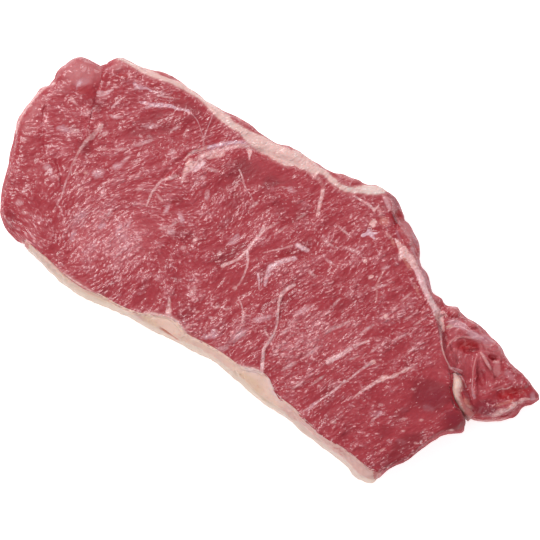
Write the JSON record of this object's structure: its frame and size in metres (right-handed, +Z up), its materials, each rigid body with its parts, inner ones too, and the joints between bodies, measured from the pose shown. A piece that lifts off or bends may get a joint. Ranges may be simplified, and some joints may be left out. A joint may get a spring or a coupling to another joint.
{
  "type": "raw beef striploin steak",
  "caption": "Thick raw beef steak lying flat: a long red cut face, a fat cap along one side, a seam of fat and a folded tail of trim on the other.",
  "frame": {"origin": "on the resting face, under the middle of the outline's box", "axes": "+X from the round end to the tail, +Y from the fat cap to the bone side, +Z up through the slice's thickness"},
  "size_m": [0.2362, 0.1058, 0.0208],
  "materials": {
    "lean": "wet raw beef, satin to glossy, with pale veins and a fine grain",
    "fat": "raw beef fat, cream to pinkish, soft satin"
  },
  "bodies": {
    "root": {"lean": "lean", "fat_cap": "fat"}
  },
  "joints": []
}
